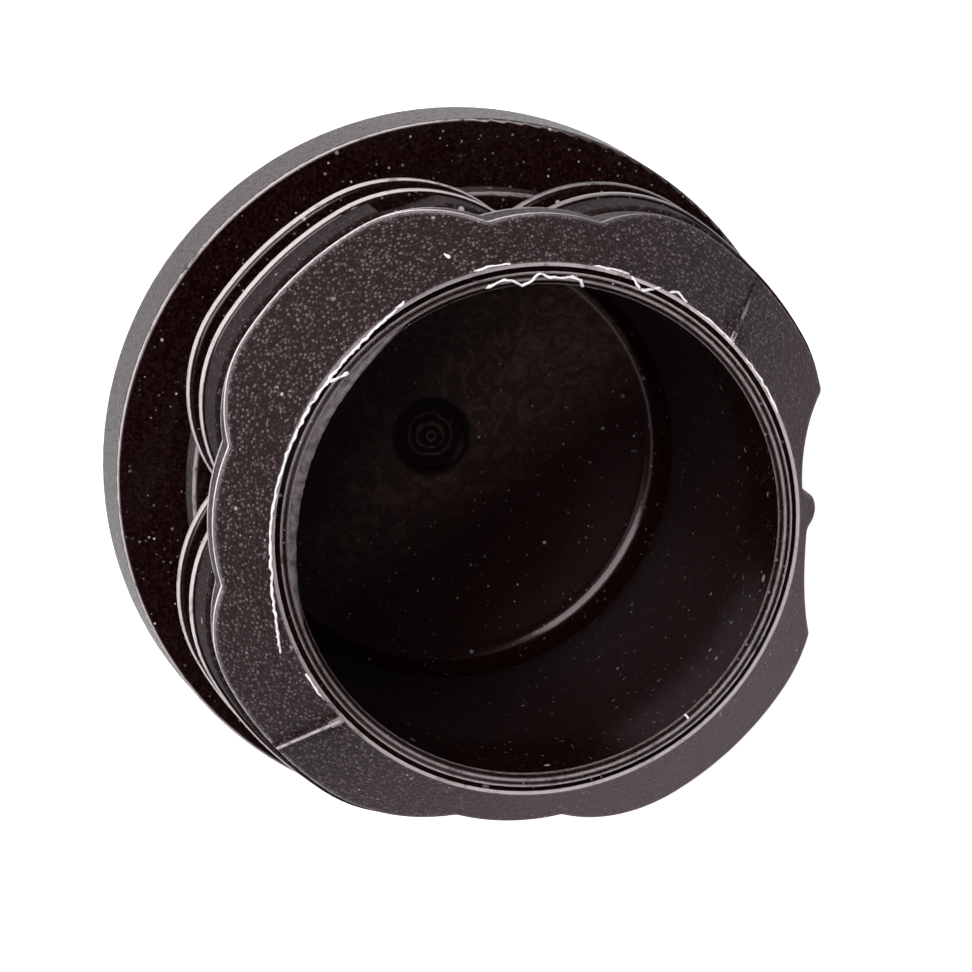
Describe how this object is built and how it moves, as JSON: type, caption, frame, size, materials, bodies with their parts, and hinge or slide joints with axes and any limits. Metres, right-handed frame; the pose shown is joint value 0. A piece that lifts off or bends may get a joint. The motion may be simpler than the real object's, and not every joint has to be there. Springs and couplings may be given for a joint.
{
  "type": "tube end cap",
  "caption": "Plastic push-in end cap for a round tube: rounded head, thin lobed gripping fins and a hollow spigot with a lead-in cone.",
  "frame": {"origin": "centre of the head's outer face, on which the cap stands", "axes": "+Z along the cap's axis, from the head towards the open mouth; the four lobes lie on the diagonals of X and Y, and the mould's parting plane runs through the lobes at 45 and 225 degrees"},
  "size_m": [0.03, 0.03, 0.0192],
  "materials": {
    "black_polyethylene": "spark-eroded grain outside, smooth in the bore and between the fins"
  },
  "bodies": {
    "root": {"end_cap": "black_polyethylene"}
  },
  "joints": []
}
